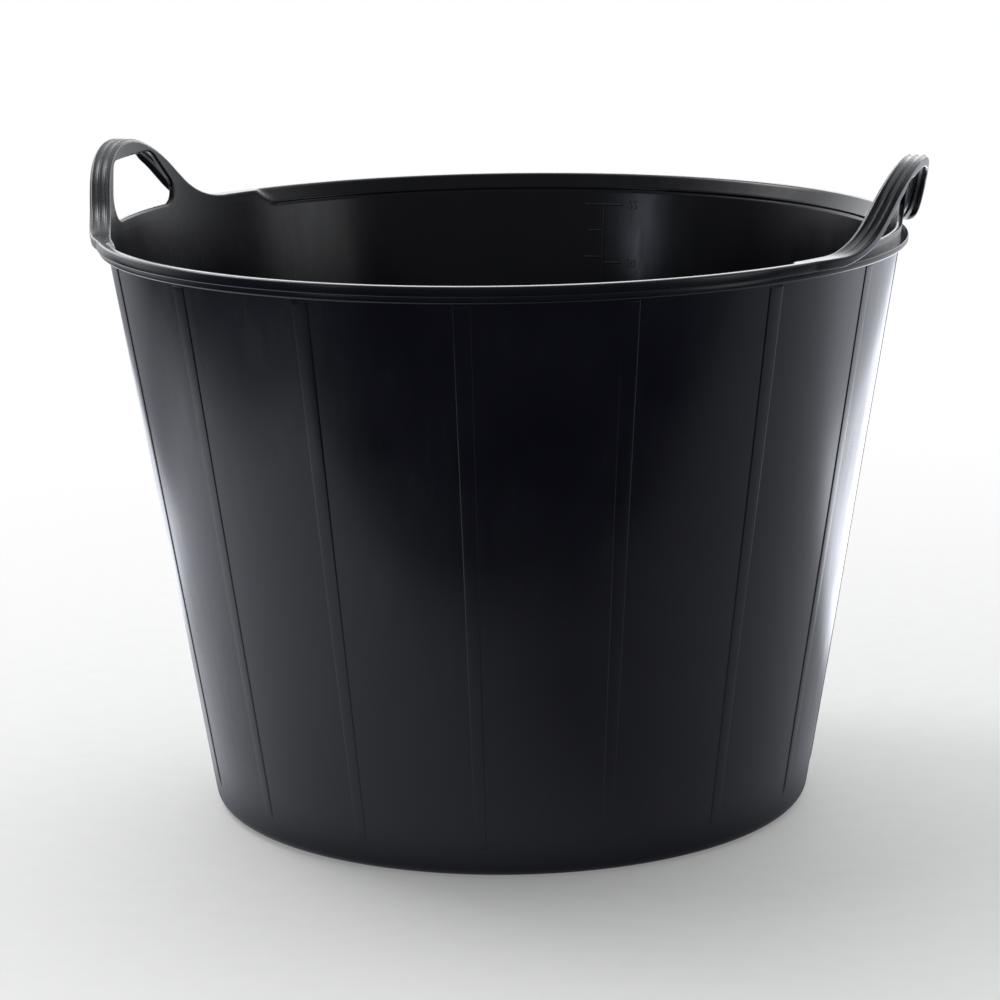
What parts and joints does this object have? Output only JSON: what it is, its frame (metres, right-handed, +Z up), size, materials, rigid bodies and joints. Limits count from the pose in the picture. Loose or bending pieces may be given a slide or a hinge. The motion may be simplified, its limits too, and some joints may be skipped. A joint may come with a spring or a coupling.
{
  "type": "florist bucket",
  "caption": "Round tapered flexible bucket with two looped rim handles, raised wall strips and an inside volume scale.",
  "frame": {"origin": "centre of the underside, on the surface the bucket stands on", "axes": "+Z up; +X towards the right-hand handle and -X towards the left-hand one; the inside scale is on the +Y wall"},
  "size_m": [0.4744, 0.454, 0.3696],
  "materials": {
    "tub_wall": "semi-gloss flexible polyethylene, near black",
    "tub_base": "semi-gloss flexible polyethylene, scuffed where it rests",
    "wall_strips": "semi-gloss flexible polyethylene, near black",
    "rim": "semi-gloss flexible polyethylene, slightly polished edges",
    "handles": "semi-gloss flexible polyethylene, slightly polished by hands",
    "scale_marks": "raised moulded marks in the same black polyethylene"
  },
  "bodies": {
    "tub": {"base_floor": "tub_base", "foot_ring": "tub_base", "wall_shell": "tub_wall", "rim_bead": "rim", "rim_band_front": "rim", "rim_band_back": "rim", "left_root_front": "handles", "left_root_back": "handles", "right_root_front": "handles", "right_root_back": "handles", "left_sill": "handles", "right_sill": "handles", "scale_line": "scale_marks", "litre_marks": "scale_marks", "gallon_marks": "scale_marks", "wall_strip_1": "wall_strips", "wall_strip_2": "wall_strips", "wall_strip_3": "wall_strips", "wall_strip_4": "wall_strips", "wall_strip_5": "wall_strips", "wall_strip_6": "wall_strips", "wall_strip_7": "wall_strips", "wall_strip_8": "wall_strips", "wall_strip_9": "wall_strips", "wall_strip_10": "wall_strips", "wall_strip_11": "wall_strips", "wall_strip_12": "wall_strips", "wall_strip_13": "wall_strips", "wall_strip_14": "wall_strips", "wall_strip_15": "wall_strips", "wall_strip_16": "wall_strips"},
    "left_handle": {"left_web": "handles", "left_strap": "handles", "left_lip": "handles", "left_ridges": "handles"},
    "right_handle": {"right_web": "handles", "right_strap": "handles", "right_lip": "handles", "right_ridges": "handles"}
  },
  "joints": [
    {"name": "right_handle_flex", "type": "hinge", "parent": "tub", "child": "right_handle", "pos_m": [0.2145, 0, 0.3315], "axis": [0, -1, 0], "range_deg": [-15, 35], "stiffness_Nm_per_rad": 2},
    {"name": "left_handle_flex", "type": "hinge", "parent": "tub", "child": "left_handle", "pos_m": [-0.2145, 0, 0.3315], "axis": [0, 1, 0], "range_deg": [-15, 35], "stiffness_Nm_per_rad": 2}
  ]
}
